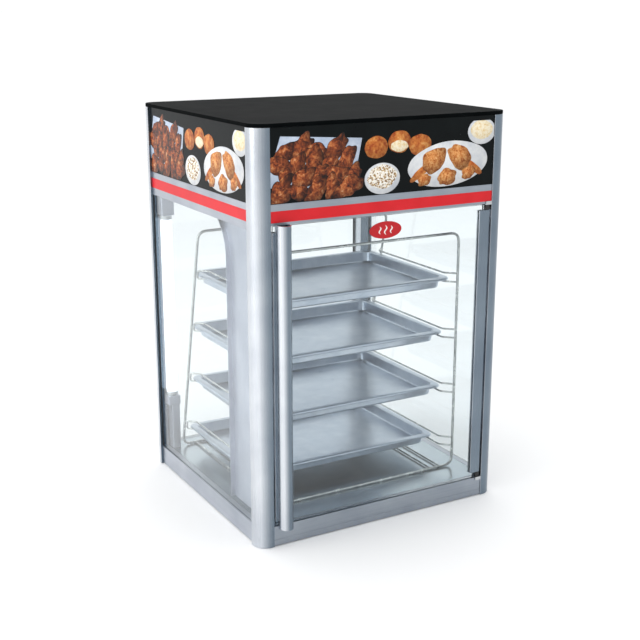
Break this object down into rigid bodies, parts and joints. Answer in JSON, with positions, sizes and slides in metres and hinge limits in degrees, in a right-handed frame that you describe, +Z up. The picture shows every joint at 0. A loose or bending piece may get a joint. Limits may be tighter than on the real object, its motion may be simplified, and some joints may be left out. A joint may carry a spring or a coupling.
{
  "type": "hot food display case",
  "caption": "Upright glass cabinet with aluminium corner posts, lit black header, hinged glass door with a full-height pull, and a wire rack of sheet pans for hot food.",
  "frame": {"origin": "centre of the footprint on the counter, midway between the front of the door pull and the rear of the cord gland", "axes": "+Z up, -Y out of the door side, +X to the right of someone who looks at the door"},
  "size_m": [0.575, 0.593, 0.832],
  "materials": {
    "aluminium": "satin anodised extrusion",
    "stainless": "brushed stainless",
    "galvanised": "plain sheet",
    "pan_aluminium": "rolled sheet",
    "wire": "nickel plated",
    "black_paint": "satin black",
    "graphic": "printed acrylic",
    "glass": "clear",
    "lamp_glass": "white phosphor coated",
    "white_plastic": "moulded",
    "black_plastic": "moulded",
    "red_label": "printed",
    "amber_lens": "clear amber"
  },
  "bodies": {
    "case": {"base_rail_front": "aluminium", "base_rail_rear": "aluminium", "base_rail_left": "aluminium", "base_rail_right": "aluminium", "corner_post_front_left": "aluminium", "corner_post_front_right": "aluminium", "corner_post_rear_left": "aluminium", "corner_post_rear_right": "aluminium", "header_rail_front": "aluminium", "header_rail_left": "aluminium", "header_rail_right": "aluminium", "lamp_wireway": "aluminium", "floor_pan": "stainless", "control_panel": "stainless", "heater_element": "stainless", "ceiling_plate": "galvanised", "air_duct": "galvanised", "motor_bracket": "galvanised", "top_lid": "black_paint", "blower_motor": "black_paint", "lamp_ballast": "black_paint", "graphic_panel_front": "graphic", "graphic_panel_left": "graphic", "graphic_panel_right": "graphic", "side_glass_left": "glass", "side_glass_right": "glass", "rear_glass": "glass", "lamp_tube": "lamp_glass", "lamp_holder_top": "white_plastic", "lamp_holder_bottom": "white_plastic", "thermostat_body": "white_plastic", "cord_gland": "black_plastic", "hinge_pivot_top": "black_plastic", "hinge_pivot_bottom": "black_plastic", "indicator_lens": "amber_lens", "rack_front_frame": "wire", "rack_rear_frame": "wire", "rack_runner_left_1": "wire", "rack_runner_left_2": "wire", "rack_runner_left_3": "wire", "rack_runner_left_4": "wire", "rack_runner_right_1": "wire", "rack_runner_right_2": "wire", "rack_runner_right_3": "wire", "rack_runner_right_4": "wire"},
    "door": {"door_glass": "glass", "latch_stile": "aluminium", "hinge_stile": "aluminium", "door_pull": "aluminium", "hinge_block_top": "black_plastic", "hinge_block_bottom": "black_plastic", "door_badge": "red_label"},
    "fan": {"fan_wheel": "galvanised"},
    "power_switch": {"power_rocker": "black_plastic"},
    "lamp_switch": {"lamp_rocker": "black_plastic"},
    "thermostat": {"thermostat_knob": "black_plastic"},
    "pan_1": {"sheet_pan_1": "pan_aluminium"},
    "pan_2": {"sheet_pan_2": "pan_aluminium"},
    "pan_3": {"sheet_pan_3": "pan_aluminium"},
    "pan_4": {"sheet_pan_4": "pan_aluminium"}
  },
  "joints": [
    {"name": "door_hinge", "type": "hinge", "parent": "case", "child": "door", "pos_m": [0.2445, -0.264, 0.344], "axis": [0, 0, 1], "range_deg": [0, 105]},
    {"name": "fan_spin", "type": "hinge", "parent": "case", "child": "fan", "pos_m": [0, 0.03, 0.676], "axis": [0, 0, 1], "continuous": true},
    {"name": "power_rocker_tilt", "type": "hinge", "parent": "case", "child": "power_switch", "pos_m": [0.15, 0.2705, 0.735], "axis": [1, 0, 0], "range_deg": [0, 16]},
    {"name": "lamp_rocker_tilt", "type": "hinge", "parent": "case", "child": "lamp_switch", "pos_m": [0.115, 0.2705, 0.735], "axis": [1, 0, 0], "range_deg": [0, 16]},
    {"name": "thermostat_turn", "type": "hinge", "parent": "case", "child": "thermostat", "pos_m": [0.02, 0.2705, 0.735], "axis": [0, -1, 0], "range_deg": [0, 270]},
    {"name": "pan_1_slide", "type": "slide", "parent": "case", "child": "pan_1", "axis": [0, -1, 0], "range_m": [0, 0.127]},
    {"name": "pan_2_slide", "type": "slide", "parent": "case", "child": "pan_2", "axis": [0, -1, 0], "range_m": [0, 0.102]},
    {"name": "pan_3_slide", "type": "slide", "parent": "case", "child": "pan_3", "axis": [0, -1, 0], "range_m": [0, 0.099]},
    {"name": "pan_4_slide", "type": "slide", "parent": "case", "child": "pan_4", "axis": [0, -1, 0], "range_m": [0, 0.08]}
  ]
}
